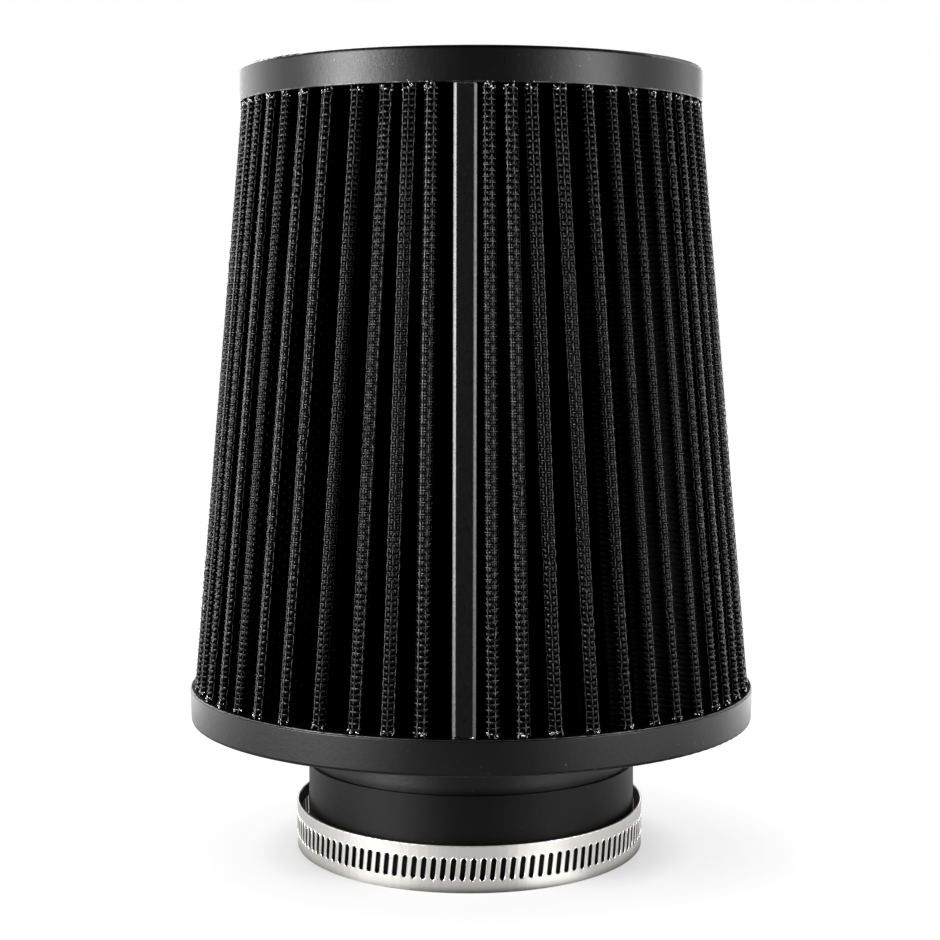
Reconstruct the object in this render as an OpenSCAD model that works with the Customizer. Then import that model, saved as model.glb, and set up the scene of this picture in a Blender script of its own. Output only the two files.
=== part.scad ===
// Cone air filter: a moulded neck and base ring, a pleated cone of gauze and cotton,
// a moulded end cap, a seam clip and a loose worm-drive clamp round the neck.
// Millimetres. +Z is up, the open end of the neck is at z = 0 and the front is -Y.

/* [Neck] */
// Bore that slips over the intake pipe
bore_d = 76.2; // [60:0.1:80]
// Wall of the neck where the clamp sits
neck_wall = 6.15; // [4.5:0.05:7.5]
// How far the throat above the clamp seat is recessed
throat_step = 1.25; // [0.5:0.05:2]
// Height of the throat
throat_h = 12.4; // [6:0.1:16]
// From the open end to the underside of the base ring
neck_len = 36.6; // [30:0.1:50]
// Lead-in chamfer at the mouth of the bore
bore_chamfer = 0.8; // [0.3:0.1:1.5]
// Radius where the bore opens into the cone
mouth_r = 7; // [4:0.5:8]

/* [Base ring and end cap] */
// Outside of the base ring
base_d = 152; // [150:0.5:170]
// Thickness of the base ring
ring_h = 8.9; // [7:0.1:14]
// How much the ring narrows towards its underside, each side
ring_draft = 0.25; // [0:0.05:0.6]
// Radius of the ring's lower edge
ring_edge_r = 0.9; // [0.4:0.1:1.5]
// Outside of the end cap
cap_d = 122.6; // [120:0.2:123]
// Thickness of the end cap
cap_h = 8.6; // [7:0.1:14]
// Radius of the cap's top edge
cap_edge_r = 1.1; // [0.4:0.1:1.6]
// Diameter of the shallow dish in the cap's top
dish_d = 96; // [60:1:108]
// Depth of that dish
dish_depth = 0.8; // [0.3:0.1:1.5]
// Depth of the channels that the pleats are potted in
pot_depth = 3; // [2:0.1:4]

/* [Pleated cone] */
// Height of the pleats between the ring and the cap
pleat_h = 155.3; // [120:0.1:180]
// How far the pleat crests stand inside the ring's outside
ring_step = 1.15; // [0.8:0.05:2]
// How far the pleat crests stand inside the cap's outside
cap_step = 0.4; // [0.35:0.05:1]
// Depth of a pleat, crest to root
pleat_depth = 17; // [14:0.1:17.5]
// Spacing of the crests at the cap
pleat_pitch = 7.22; // [7.1:0.02:7.9]
// Outside radius of a crest
crest_r = 1.85; // [1.6:0.05:1.95]
// Radius of the open valley between two pleats at their root
valley_r = 0.12; // [0.08:0.01:0.16]
// Thickness of the cotton
cotton_t = 0.7; // [0.5:0.05:0.75]
// Thickness of each wire screen
screen_t = 0.3; // [0.2:0.05:0.35]
// Gap between the cotton and each screen
layer_gap = 0.04; // [0.02:0.01:0.06]
// How unevenly the crests are set round the cone, in crest spacings
wander = 0.147; // [0:0.005:0.16]
// How far the crests are gathered towards the seam at the cap, in crest spacings
gather = 0.5; // [0:0.02:0.52]

/* [Seam clip] */
// Where the seam lies, in degrees from the front
seam_angle = -1.35; // [-5:0.05:5]
// Room between the seam pleat's crest and each leg of the clip
clip_room = 0.55; // [0.5:0.05:0.6]
// Sheet thickness of the clip
clip_t = 0.5; // [0.4:0.05:0.55]
// Depth of the clip's legs
clip_leg = 3; // [2.4:0.1:3.2]
// Radius of the clip's long edges
clip_edge_r = 0.9; // [0.6:0.05:1.1]
// Gap between the seam pleat and the clip's face
clip_gap = 0.1; // [0.05:0.01:0.15]

/* [Worm-drive clamp] */
// How far the outside of the loose band stands off the neck
band_slack = 2.75; // [2.4:0.05:3.5]
// Width of the band
band_w = 12.2; // [11.5:0.1:14]
// Thickness of the band
band_t = 0.7; // [0.5:0.05:0.75]
// Spacing of the slots round the band
slot_pitch = 2.54; // [2.4:0.01:3]
// Width of a slot
slot_w = 1.4; // [1:0.05:1.5]
// Length of a slot
slot_len = 6; // [4.5:0.1:7]
// Lean of the slots, in degrees
slot_lean = 6; // [3:0.5:8]
// How far the loose clamp stands off centre to the left
clamp_off_x = 0.5; // [0:0.1:0.6]
// Lean of the loose clamp, in degrees, with its screw side up against the neck
clamp_lean = 1.95; // [1:0.05:2.5]
// Radius of the screw's plain worm body
worm_r = 3.3; // [3:0.1:3.5]
// Length of the worm body
worm_len = 10.4; // [9:0.1:12]
// Across the flats of the screw head
hex_af = 6.4; // [5.5:0.1:6.5]
// Length of the screw head
hex_len = 5; // [4:0.1:7]

/* [Hidden] */
$fn = 96;
eps = 0.01;

// Diameters
neck_d = bore_d + 2 * neck_wall;
throat_d = neck_d - 2 * throat_step;

// Heights
ring_top = neck_len + ring_h;
cap_bottom = ring_top + pleat_h;
pot_floor = ring_top - pot_depth;
pot_roof = cap_bottom + pot_depth;

// Cone of the pleat crests, and the clearance round the potted ends
crest_low = base_d / 2 - ring_step;
crest_high = cap_d / 2 - cap_step;
pot_gap = 0.1;
function crest_at(z) = crest_low + (crest_high - crest_low) * (z - ring_top) / pleat_h;

// Layers of the pleated sheet, as distances from its middle surface
cotton_out = cotton_t / 2;
screen_in = cotton_out + layer_gap;
screen_out = screen_in + screen_t;

// Radii of the sheet's middle surface at the crests and roots, and outside a root
crest_mid = crest_r - screen_out;
root_mid = screen_out + valley_r;
root_r = root_mid + screen_out;

// As many pleats as fit round the cap, and the angle from one to the next
pleat_count = round(2 * PI * crest_high / pleat_pitch);
pleat_step = 360 / pleat_count;

// Steps of the round folds
crest_steps = 4;
root_steps = 2;
// The seam pleat is a little shallower, so that its clip lies level with the other crests
seam_inset = clip_gap + clip_t + 0.1;
// The other crests lie this far round from the seam's own place, in crest spacings
seam_crowd = -0.339;
// This many crests from the seam, the pull towards it has reached half
pull_reach = 2.2;

// Plane point at a radius and an angle from the front
function polar(r, a) = [r * sin(a), -r * cos(a)];
// Plane unit vector whose direction is an angle from +X
function unit(a) = [cos(a), sin(a)];
// Signed angle that turns vector u onto vector v
function turn(u, v) = atan2(u[0] * v[1] - u[1] * v[0], u * v);

// Uneven spacing of the crests: three slow waves round the cone
function crest_wander(a) = wander * (cos(3 * a) - 0.85 * sin(6 * a) + 0.45 * cos(13 * a - 73));
// Angle of crest k at the ring, with the seam at k = 0
function crest_foot(k) =
    let (a = k * pleat_step)
    k % pleat_count == 0
    ? seam_angle + a
    : seam_angle + a + (seam_crowd + crest_wander(a)) * pleat_step;
// Pull towards the seam: full a few pleats from it, none at the seam and behind
function pull(a) =
    let (w = a - 360 * floor(a / 360 + 0.5), far = pow(w / pleat_step / pull_reach, 4))
    sign(w) * far / (1 + far) * pow(cos(w / 2), 2);
// Angle of crest k at height z
function crest_angle(k, z) =
    let (a = crest_foot(k), share = (z - ring_top) / pleat_h)
    a - gather * pleat_step * share * pull(a - seam_angle);
function root_angle(k, z) = (crest_angle(k, z) + crest_angle(k + 1, z)) / 2;

// Centres of the round folds at height z
function crest_centre(k, z) =
    polar(crest_at(z) - crest_r - (k % pleat_count == 0 ? seam_inset : 0), crest_angle(k, z));
function root_centre(k, z) = polar(crest_at(z) - pleat_depth + root_r, root_angle(k, z));

// Direction of the sheet's outward normal on a flank, from the line that touches
// the crest circle on one side and the root circle on the other
function flank(c, q, out, side) =
    let (d = q - c, swing = acos((crest_mid + root_mid) / norm(d)))
    out + side * (180 - swing) + turn(-unit(out), d);

// One pleat at height z, as the points of the surface that lies off outside the middle
function pleat(k, z, off) =
    let (
        c = crest_centre(k, z),
        next = crest_centre(k + 1, z),
        q = root_centre(k, z),
        out = crest_angle(k, z) - 90,
        out_next = crest_angle(k + 1, z) - 90,
        left = flank(c, root_centre(k - 1, z), out, -1),
        right = flank(c, q, out, 1),
        left_next = flank(next, q, out_next, -1)
    )
    concat(
        [for (i = [0:crest_steps]) c + (crest_mid + off) * unit(left + (right - left) * i / crest_steps)],
        [for (i = [0:root_steps]) q - (root_mid - off) * unit(right + (left_next - right) * i / root_steps)]
    );

// The whole folded outline at height z, as points in space
function folds(z, off) =
    [for (k = [0:pleat_count - 1]) for (p = pleat(k, z, off)) [p[0], p[1], z]];

// A pleated layer between two distances from the middle surface, potted at both ends.
// Every wall is split along the same diagonals, so that nested layers stay parallel.
module pleated_layer(inner, outer) {
    loops = [folds(pot_floor, outer), folds(pot_roof, outer),
             folds(pot_roof, inner), folds(pot_floor, inner)];
    n = len(loops[0]);
    low_out = 0;
    high_out = n;
    high_in = 2 * n;
    low_in = 3 * n;
    faces = [
        for (i = [0:n - 1])
            let (j = (i + 1) % n)
            each [
                [low_out + i, high_out + i, high_out + j],
                [low_out + i, high_out + j, low_out + j],
                [low_in + i, high_in + j, high_in + i],
                [low_in + i, low_in + j, high_in + j],
                [high_out + i, high_in + i, high_in + j],
                [high_out + i, high_in + j, high_out + j],
                [low_out + i, low_in + j, low_in + i],
                [low_out + i, low_out + j, low_in + j]
            ]
    ];
    polyhedron(points = concat(loops[0], loops[1], loops[2], loops[3]), faces = faces, convexity = 20);
}

// Ring-shaped channel with sloping walls, as the pleats' potted ends need it
module pot_channel(low, high) {
    rotate_extrude()
        polygon([
            [crest_at(low) - pleat_depth - pot_gap, low],
            [crest_at(low) + pot_gap, low],
            [crest_at(high) + pot_gap, high],
            [crest_at(high) - pleat_depth - pot_gap, high]
        ]);
}

// Square corner less a quarter circle, to take off a section's sharp corner
module corner_cut(x, y, r, sx, sy) {
    translate([x, y])
        scale([sx, sy])
            difference() {
                translate([-r, -r]) square(2 * r);
                translate([-r, -r]) circle(r, $fn = 48);
            }
}

// Section of the base ring and neck
module flange_section() {
    throat_low = neck_len - throat_h;
    difference() {
        union() {
            translate([bore_d / 2, 0]) square([(neck_d - bore_d) / 2, throat_low]);
            translate([bore_d / 2, 0]) square([(throat_d - bore_d) / 2, ring_top]);
            polygon([
                [bore_d / 2, neck_len],
                [base_d / 2 - ring_draft, neck_len],
                [base_d / 2, ring_top],
                [bore_d / 2, ring_top]
            ]);
            throat_fillet();
        }
        corner_cut(base_d / 2 - ring_draft, neck_len, ring_edge_r, 1, -1);
        corner_cut(base_d / 2, ring_top, ring_edge_r / 2, 1, 1);
        corner_cut(neck_d / 2, 0, bore_chamfer, 1, -1);
        polygon([
            [bore_d / 2 - eps, -eps],
            [bore_d / 2 + bore_chamfer, -eps],
            [bore_d / 2 - eps, bore_chamfer]
        ]);
        corner_cut(bore_d / 2, ring_top, mouth_r, -1, 1);
    }
}

// Round inside corner between the throat and the ring's underside
module throat_fillet() {
    r = 2;
    translate([throat_d / 2, neck_len - r])
        difference() {
            translate([-eps, 0]) square([r + eps, r + eps]);
            translate([r, 0]) circle(r, $fn = 48);
        }
}

module base_flange() {
    color([0.07, 0.07, 0.075])
        difference() {
            rotate_extrude() flange_section();
            pot_channel(pot_floor, ring_top + eps);
        }
}

module end_cap() {
    cap_top = cap_bottom + cap_h;
    color([0.07, 0.07, 0.075])
        difference() {
            rotate_extrude()
                difference() {
                    translate([0, cap_bottom]) square([cap_d / 2, cap_h]);
                    corner_cut(cap_d / 2, cap_top, cap_edge_r, 1, 1);
                    translate([-eps, cap_top - dish_depth])
                        square([dish_d / 2 + eps, dish_depth + eps]);
                }
            pot_channel(cap_bottom - eps, pot_roof);
        }
}

module filter_medium() {
    color([0.1, 0.1, 0.1]) pleated_layer(-cotton_out, cotton_out);
}

module outer_screen() {
    color([0.16, 0.16, 0.17]) pleated_layer(screen_in, screen_out);
}

module inner_screen() {
    color([0.16, 0.16, 0.17]) pleated_layer(-screen_out, -screen_in);
}

// Section of the seam clip: a channel, open at the back, face on y = 0
clip_w = 2 * (crest_r + clip_room + clip_t);
module clip_section() {
    depth = clip_t + clip_leg;
    difference() {
        translate([-clip_w / 2, 0]) square([clip_w, depth]);
        translate([-clip_w / 2 + clip_t, clip_t]) square([clip_w - 2 * clip_t, depth]);
        corner_cut(clip_w / 2, 0, clip_edge_r, 1, -1);
        corner_cut(-clip_w / 2, 0, clip_edge_r, -1, -1);
    }
    clip_corner(1);
    clip_corner(-1);
}

// Keeps the sheet's thickness round the clip's edge
module clip_corner(side) {
    in_r = clip_edge_r - clip_t;
    scale([side, 1])
        translate([clip_w / 2 - clip_edge_r, clip_edge_r])
            difference() {
                translate([0, -in_r]) square(in_r);
                circle(in_r, $fn = 48);
            }
}

module seam_clip() {
    rise = pot_roof - pot_floor;
    lean = atan((crest_at(pot_floor) - crest_at(pot_roof)) / rise);
    face_r = crest_at(pot_floor) - seam_inset + clip_gap + clip_t;
    spare = 2;
    color([0.05, 0.05, 0.055])
        intersection() {
            rotate([0, 0, seam_angle])
                translate([0, -face_r, pot_floor])
                    rotate([-lean, 0, 0])
                        translate([0, 0, -spare])
                            linear_extrude(height = rise / cos(lean) + 2 * spare)
                                clip_section();
            translate([-base_d / 2, -base_d / 2, pot_floor]) cube([base_d, base_d, rise]);
        }
}

// Clamp, in its own frame: the band's axis is Z, its lower edge is at z = 0 and the
// screw is at the back, +Y. Angles round it are counted from +Y, anticlockwise from above.
band_r = neck_d / 2 + band_slack;
band_in = band_r - band_t;
lap_gap = 0.1;
run_gap = 0.08;
end_play = 0.15;

// The band's tail lifts over its head end
lap_rise = band_t + lap_gap;
lift_from = 290;
lift_span = 60;
head_end = -9;
tail_end = 25;
tail_round = 3;
slot_step = slot_pitch / band_r * 180 / PI;
slot_from = tail_end + 4.45;
slot_to = 360 + tail_end - 4;
function band_rise(a) =
    let (t = min(max((a - lift_from) / lift_span, 0), 1)) lap_rise * t * t * (3 - 2 * t);
// The band's outline has its corners midway between the slots
band_first = slot_from + slot_step * (ceil((head_end - slot_from) / slot_step) + 0.5);
band_steps = concat(head_end, [for (a = [band_first:slot_step:360 + tail_end]) a], 360 + tail_end);

// Layers at the back, from the neck outwards: hem, saddle, head end, tail, foot plate
saddle_t = 0.6;
saddle_out = band_in - lap_gap;
saddle_in = saddle_out - saddle_t;
saddle_reach = 14;
hem_t = 0.7;
hem_out = saddle_in - lap_gap;
hem_in = hem_out - hem_t;
hem_len = 2.8;
foot_in = band_r + lap_rise + lap_gap;
foot_t = 0.9;
foot_out = foot_in + foot_t;
side_gap = 0.3;
side_t = 1;

// Screw and housing
worm_under = 0.25;
screw_y = band_r + lap_rise + worm_under + worm_r;
screw_z = band_w / 2;
thread_room = 0.9;
cavity_r = worm_r + thread_room;
lip_t = 0.9;
arch_r = cavity_r + foot_t;
housing_len = worm_len + 2 * (end_play + lip_t);
housing_half = asin(housing_len / 2 / foot_out);
journal_r = 2.6;
tip_r = 2;
hex_r = hex_af / 2 / cos(30);
collar_r = hex_r + 0.05;
collar_t = 0.9;

// The front of the band stands on the floor, and the top of the housing's hem rests
// against the back of the neck
seat_gap = 0.15;
housing_drop = side_gap + side_t;
clamp_off_y = neck_d / 2 + seat_gap - hem_in + (band_w + housing_drop) * sin(clamp_lean);

module place_clamp() {
    translate([-clamp_off_x, clamp_off_y - band_r, 0])
        rotate([clamp_lean, 0, 0])
            translate([0, band_r, 0])
                children();
}

// One side of the band's outline, from its head end to its tail end
function band_side(r) = [for (a = band_steps) (r + band_rise(a)) * unit(90 + a)];
function backwards(list) = [for (i = [len(list) - 1:-1:0]) list[i]];

// Puts its children at an angle round the band, with y as radius and z up
module at_back(a) {
    rotate([0, 0, a]) children();
}

// Cuts a flat shape, drawn in width and height, through the band from radius r outwards
module punch(r) {
    reach = 3;
    translate([0, r + reach, 0])
        rotate([90, 0, 0])
            linear_extrude(height = reach)
                children();
}

// Straight sides and blunt pointed ends
module slot_shape() {
    side = slot_w / 2;
    tip = slot_w * 0.16;
    end = slot_len / 2;
    shoulder = end - slot_w * 0.4;
    translate([0, band_w / 2])
        rotate(slot_lean)
            polygon([[tip, -end], [side, -shoulder], [side, shoulder], [tip, end],
                     [-tip, end], [-side, shoulder], [-side, -shoulder], [-tip, -end]]);
}

module clamp_band() {
    lap_from = 360 + head_end - slot_step;
    lap_mid = band_r + lap_gap / 2;
    color([0.78, 0.77, 0.74])
        place_clamp()
            difference() {
                linear_extrude(height = band_w)
                    polygon(concat(band_side(band_r), backwards(band_side(band_in))));
                for (a = [slot_from:slot_step:slot_to])
                    at_back(a) punch(a < lap_from ? band_in - 1 : lap_mid) slot_shape();
                at_back(tail_end)
                    punch(lap_mid) {
                        corner_cut(0, 0, tail_round, -1, -1);
                        corner_cut(0, band_w, tail_round, -1, 1);
                    }
            }
}

module clamp_saddle() {
    inset = 0.3;
    color([0.7, 0.69, 0.67])
        place_clamp()
            rotate([0, 0, 90 - saddle_reach])
                rotate_extrude(angle = 2 * saddle_reach)
                    translate([saddle_in, inset]) square([saddle_t, band_w - 2 * inset]);
}

// Section of the housing's foot: a channel closed over the band's edges and hemmed inside
module foot_section() {
    difference() {
        translate([hem_in, -housing_drop])
            square([foot_out - hem_in, band_w + 2 * housing_drop]);
        translate([hem_out, -side_gap]) square([foot_in - hem_out, band_w + 2 * side_gap]);
        translate([hem_in - eps, hem_len - housing_drop])
            square([hem_t + 2 * eps, band_w + 2 * (housing_drop - hem_len)]);
    }
}

// Section of the housing's arch over the screw, drawn in y and z
module arch_section() {
    shoulder_r = 1.2;
    base_y = foot_in + 0.1;
    intersection() {
        translate([screw_y, screw_z]) circle(arch_r);
        translate([screw_y, screw_z - arch_r]) square([arch_r, 2 * arch_r]);
    }
    translate([base_y, screw_z - arch_r]) square([screw_y - base_y, 2 * arch_r]);
    for (side = [-1, 1])
        translate([0, screw_z + side * arch_r])
            scale([1, side])
                difference() {
                    translate([base_y, -eps])
                        square([foot_out + shoulder_r - base_y, shoulder_r + eps]);
                    translate([foot_out + shoulder_r, shoulder_r]) circle(shoulder_r, $fn = 48);
                }
}

// A cylinder along X on the screw's axis, between two distances from the middle
module on_axis(from, to, r1, r2) {
    translate([from, screw_y, screw_z])
        rotate([0, 90, 0])
            cylinder(h = to - from, r1 = r1, r2 = r2);
}

module clamp_housing() {
    half = housing_len / 2;
    color([0.74, 0.73, 0.71])
        place_clamp()
            difference() {
                union() {
                    rotate([0, 0, 90 - housing_half])
                        rotate_extrude(angle = 2 * housing_half) foot_section();
                    translate([-half, 0, 0])
                        rotate([90, 0, 90])
                            linear_extrude(height = housing_len) arch_section();
                }
                on_axis(lip_t - half, half - lip_t, cavity_r, cavity_r);
                on_axis(0, half + 1, journal_r + run_gap, journal_r + run_gap);
                on_axis(-half - 1, 0, tip_r + run_gap, tip_r + run_gap);
            }
}

// Hex head with a chamfered end and a cross slot
module hex_head(from) {
    slot_t = 1.2;
    slot_depth = 1.6;
    chamfer = 0.7;
    difference() {
        intersection() {
            translate([from, screw_y, screw_z])
                rotate([0, 90, 0]) cylinder(h = hex_len, r = hex_r, $fn = 6);
            union() {
                on_axis(from - eps, from + hex_len - chamfer, hex_r + eps, hex_r + eps);
                on_axis(from + hex_len - chamfer, from + hex_len, hex_r + eps, hex_r - chamfer);
            }
        }
        translate([from + hex_len - slot_depth, screw_y - slot_t / 2, screw_z - hex_r - 1])
            cube([slot_depth + 1, slot_t, 2 * hex_r + 2]);
    }
}

module clamp_screw() {
    half = worm_len / 2;
    lip = lip_t + end_play;
    bevel = 0.5;
    collar_at = half + lip + end_play;
    color([0.8, 0.79, 0.77])
        place_clamp() {
            on_axis(-half, -half + bevel, worm_r - bevel, worm_r);
            on_axis(-half + bevel, half - bevel, worm_r, worm_r);
            on_axis(half - bevel, half, worm_r, worm_r - bevel);
            on_axis(-half - lip - end_play, -half, tip_r, tip_r);
            on_axis(half, collar_at, journal_r, journal_r);
            on_axis(collar_at, collar_at + collar_t, collar_r, collar_r);
            hex_head(collar_at + collar_t);
        }
}

base_flange();
end_cap();
filter_medium();
outer_screen();
inner_screen();
seam_clip();
clamp_band();
clamp_saddle();
clamp_housing();
clamp_screw();
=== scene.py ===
"""Looks of the cone air filter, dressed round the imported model.

Lengths are in millimetres until a mesh is made, and in metres in materials and in the
studio. Heights run up from the open end of the neck, angles are counted from the front
towards the right, and the cone's pleats follow the same folds as the model.
"""

import bpy
import numpy as np
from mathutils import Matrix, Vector


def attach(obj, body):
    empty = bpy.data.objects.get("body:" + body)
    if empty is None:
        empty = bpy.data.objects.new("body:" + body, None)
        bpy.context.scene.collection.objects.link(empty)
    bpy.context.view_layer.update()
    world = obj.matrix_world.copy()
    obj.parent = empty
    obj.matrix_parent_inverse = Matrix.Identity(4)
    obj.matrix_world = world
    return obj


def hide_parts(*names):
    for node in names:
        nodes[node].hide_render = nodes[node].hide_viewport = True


MM = 0.001

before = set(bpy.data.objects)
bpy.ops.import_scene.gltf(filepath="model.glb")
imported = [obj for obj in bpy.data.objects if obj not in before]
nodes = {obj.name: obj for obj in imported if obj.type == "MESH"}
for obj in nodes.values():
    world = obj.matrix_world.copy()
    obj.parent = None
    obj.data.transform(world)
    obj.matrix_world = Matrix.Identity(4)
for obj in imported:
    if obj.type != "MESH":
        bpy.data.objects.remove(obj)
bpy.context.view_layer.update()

# Main sizes of the model
SEAT_TOP = 24.5
THROAT_TOP = 35.5
NECK_TOP = 36.6
RING_TOP = 45.5
CAP_BOTTOM = 200.8
POT_DEPTH = 3.0
POT_FLOOR = RING_TOP - POT_DEPTH
POT_ROOF = CAP_BOTTOM + POT_DEPTH
PLEAT_H = CAP_BOTTOM - RING_TOP
BASE_R = 76.0
CAP_R = 61.3
CREST_LOW = 74.85
CREST_HIGH = 60.9
PLEAT_DEPTH = 17.0
PLEATS = 53
STEP = 360 / PLEATS

# The folds. The circles' centres stand CREST_R inside the crests and ROOT_R outside the
# roots, and the other two are the circles' radii at the middle of the sheet
CREST_MID = 1.16
CREST_R = 1.85
ROOT_MID = 0.81
ROOT_R = 1.5
FOLD_STEPS = (8, 4, 4)

# The seam's crest stands at an angle and a little further in. The others crowd towards it,
# wander and gather by shares of a step, and the pull starts a few steps away
SEAM_ANGLE = -1.35
SEAM_INSET = 0.7
SEAM_CROWD = -0.339
WANDER = 0.147
GATHER = 0.5
PULL_REACH = 2.2

# The wire gauze: wires, cells, and how far the wires weave out and in
UPRIGHT_R = 0.14
LEVEL_R = 0.19
WIRE_SIDES = 3
ROW = 1.4
CELL = 1.7
UPRIGHT_WEAVE = 0.05
LEVEL_WEAVE = 0.2
CAP_TUCK = 0.6

# Distances from the sheet's middle, outwards
GAUZE_OFF = 0.47
COTTON_OFF = 0.4
COTTON_BACK = -0.35
INNER_OFF = -0.4
INNER_BACK = -0.65
GAUZE_BEND = CREST_MID + GAUZE_OFF

# How far from a crest's middle the gauze and cotton start to darken as painted shade, and over what
# length they do
FLANK_FROM = 1.65
FLANK_FADE = 1.15

# The clamp, in its own frame: the band's axis is Z and angles are counted in degrees from the
# back, anticlockwise from above. The axis stands on the floor at CLAMP_X, CLAMP_Y
BAND_R = 47.0
BAND_T = 0.7
BAND_W = 12.2
BAND_INSIDE = 46.62
CLAMP_X = -0.5
CLAMP_Y = 0.0594
CLAMP_LEAN = np.radians(1.95)
HEAD_END = -9
TAIL_END = 385
LIFT_FROM = 290
LIFT_OVER = 60
LIFT = BAND_T + 0.1
SLOT_STEP = np.degrees(2.54 / BAND_R)
SLOT_FROM = 29.45
SLOT_TO = 335
SLOT_LEAN = np.radians(-6)
BURR_R = 0.1
BURR_SINK = 0.04
EDGE_R = 0.36
EDGE_DROP = 0.3


def unit(a):
    """Plane unit vectors whose direction is an angle in radians from +X."""
    return np.stack([np.cos(a), np.sin(a)], -1)


def polar(r, a):
    """Plane points at a radius and an angle in degrees from the front."""
    return np.stack([r * np.sin(np.radians(a)), -r * np.cos(np.radians(a))], -1)


def smooth(x):
    """0 below 0, 1 above 1 and a smooth rise between."""
    x = np.clip(x, 0, 1)
    return x * x * (3 - 2 * x)


def crest_at(z):
    """Radius of the crests at a height: a straight cone."""
    return CREST_LOW + (CREST_HIGH - CREST_LOW) * (z - RING_TOP) / PLEAT_H


def crest_angle(k, z):
    """Angle of crest k at a height. Even steps and three slow waves round the cone, less a
    share of the pull towards the seam that grows with height. The seam's crest stays."""
    a = k * STEP
    wave = np.cos(np.radians(3 * a)) - 0.85 * np.sin(np.radians(6 * a))
    wave = WANDER * (wave + 0.45 * np.cos(np.radians(13 * a - 73)))
    seam = k % PLEATS == 0
    foot = SEAM_ANGLE + a + np.where(seam, 0, (SEAM_CROWD + wave) * STEP)
    w = foot - SEAM_ANGLE
    w = w - 360 * np.floor(w / 360 + 0.5)
    far = (w / STEP / PULL_REACH) ** 4
    pull = np.sign(w) * far / (1 + far) * np.cos(np.radians(w / 2)) ** 2
    return foot - GATHER * STEP * (z - RING_TOP) / PLEAT_H * pull


def turn(u, v):
    """Signed angle in radians from plane vectors u to v."""
    return np.arctan2(u[..., 0] * v[..., 1] - u[..., 1] * v[..., 0], (u * v).sum(-1))


class Fold:
    """Every pleat at one height: circles at the crests and roots, and the lines that touch
    both. out, left and right are directions in radians."""

    def __init__(self, z):
        k = np.arange(PLEATS)

        def crest(n):
            lower = np.where(n % PLEATS == 0, SEAM_INSET, 0)
            return polar(crest_at(z) - CREST_R - lower, crest_angle(n, z))

        def root(n):
            a = (crest_angle(n, z) + crest_angle(n + 1, z)) / 2
            return polar(crest_at(z) - PLEAT_DEPTH + ROOT_R, a)

        def flank(c, q, out, side):
            d = q - c
            swing = np.arccos((CREST_MID + ROOT_MID) / np.hypot(d[:, 0], d[:, 1]))
            return out + side * (np.pi - swing) + turn(-unit(out), d)

        self.centre = crest(k)
        self.root = root(k)
        self.out = np.radians(crest_angle(k, z) - 90)
        self.left = flank(self.centre, root(k - 1), self.out, -1)
        self.right = flank(self.centre, self.root, self.out, 1)
        out_next = np.radians(crest_angle(k + 1, z) - 90)
        self.left_next = flank(crest(k + 1), self.root, out_next, -1)
        self.flank_len = np.hypot(*(self.root - self.centre).T)
        self.flank_len = np.sqrt(self.flank_len**2 - (CREST_MID + ROOT_MID) ** 2)

    def at(self, k, s, off):
        """Point and outward direction on pleat k, at a distance s along the gauze from the
        crest's middle, off outside the sheet's middle: round the crest, then straight."""
        mid = (self.left + self.right)[k] / 2
        half = (self.right - self.left)[k] / 2
        bend = np.clip(s / GAUZE_BEND, -half, half)
        normal = unit(mid + bend)
        along = np.stack([-normal[..., 1], normal[..., 0]], -1)
        rest = (s - bend * GAUZE_BEND)[..., None]
        return self.centre[k] + (CREST_MID + off)[..., None] * normal + rest * along, normal

    def outline(self, off, crest_steps, flank_steps, root_steps):
        """Points of the whole sheet in order, and how far each lies along its own pleat."""
        k = np.arange(PLEATS)[:, None]
        half = (self.right - self.left)[:, None] / 2
        s = np.linspace(-1, 1, crest_steps + 1)[None] * half * GAUZE_BEND
        reach = self.flank_len[:, None] * np.linspace(0, 1, flank_steps + 1)[None, 1:-1]
        s = np.concatenate([s, s[:, -1:] + reach], 1)
        first, _ = self.at(k, s, np.full(s.shape, float(off)))
        turned = np.linspace(0, 1, root_steps + 1)[None]
        a = self.right[:, None] + (self.left_next - self.right)[:, None] * turned
        low = self.root[:, None] - (ROOT_MID - off) * unit(a)
        s_root = half * GAUZE_BEND + self.flank_len[:, None]
        s_root = s_root + turned * (self.right - self.left_next)[:, None] * ROOT_MID
        back = np.linspace(0, 1, flank_steps + 1)[None, 1:-1, None]
        following = np.roll(first[:, 0], -1, 0)[:, None]
        climb = low[:, -1:] + (following - low[:, -1:]) * back
        s_back = s_root[:, -1:] + self.flank_len[:, None] * back[..., 0]
        points = np.concatenate([first, low, climb], 1)
        return points.reshape(-1, 2), np.concatenate([s, s_root, s_back], 1).reshape(-1)


LOW = Fold(POT_FLOOR)
HIGH = Fold(POT_ROOF)
luck = np.random.default_rng(7)
phase = luck.uniform(-0.5, 0.5, PLEATS)
waves = luck.uniform(0, 2 * np.pi, (9, PLEATS))


def sheet_point(k, s, z, off):
    """Point and outward direction on pleat k at height z: on the straight line between the
    same place of the fold at the pleats' foot and at their head."""
    t = ((z - POT_FLOOR) / (POT_ROOF - POT_FLOOR))[..., None]
    p0, n0 = LOW.at(k, s, off)
    p1, n1 = HIGH.at(k, s, off)
    p = p0 + (p1 - p0) * t
    n = n0 + (n1 - n0) * t
    n = n / np.linalg.norm(n, axis=-1, keepdims=True)
    return np.concatenate([p, z[..., None]], -1), np.concatenate([n, 0 * t], -1)


def near_end(z, reach):
    """1 at the ring and the cap, falling away as the distance to them grows."""
    return np.exp(-(z - RING_TOP) / reach) + np.exp(-(CAP_BOTTOM - z) / reach)


def hidden(s):
    """0 on a crest, 1 on the flanks of a pleat, where the gauze and cotton darken as painted shade.
    """
    return smooth((np.abs(s) - FLANK_FROM) / FLANK_FADE)


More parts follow.
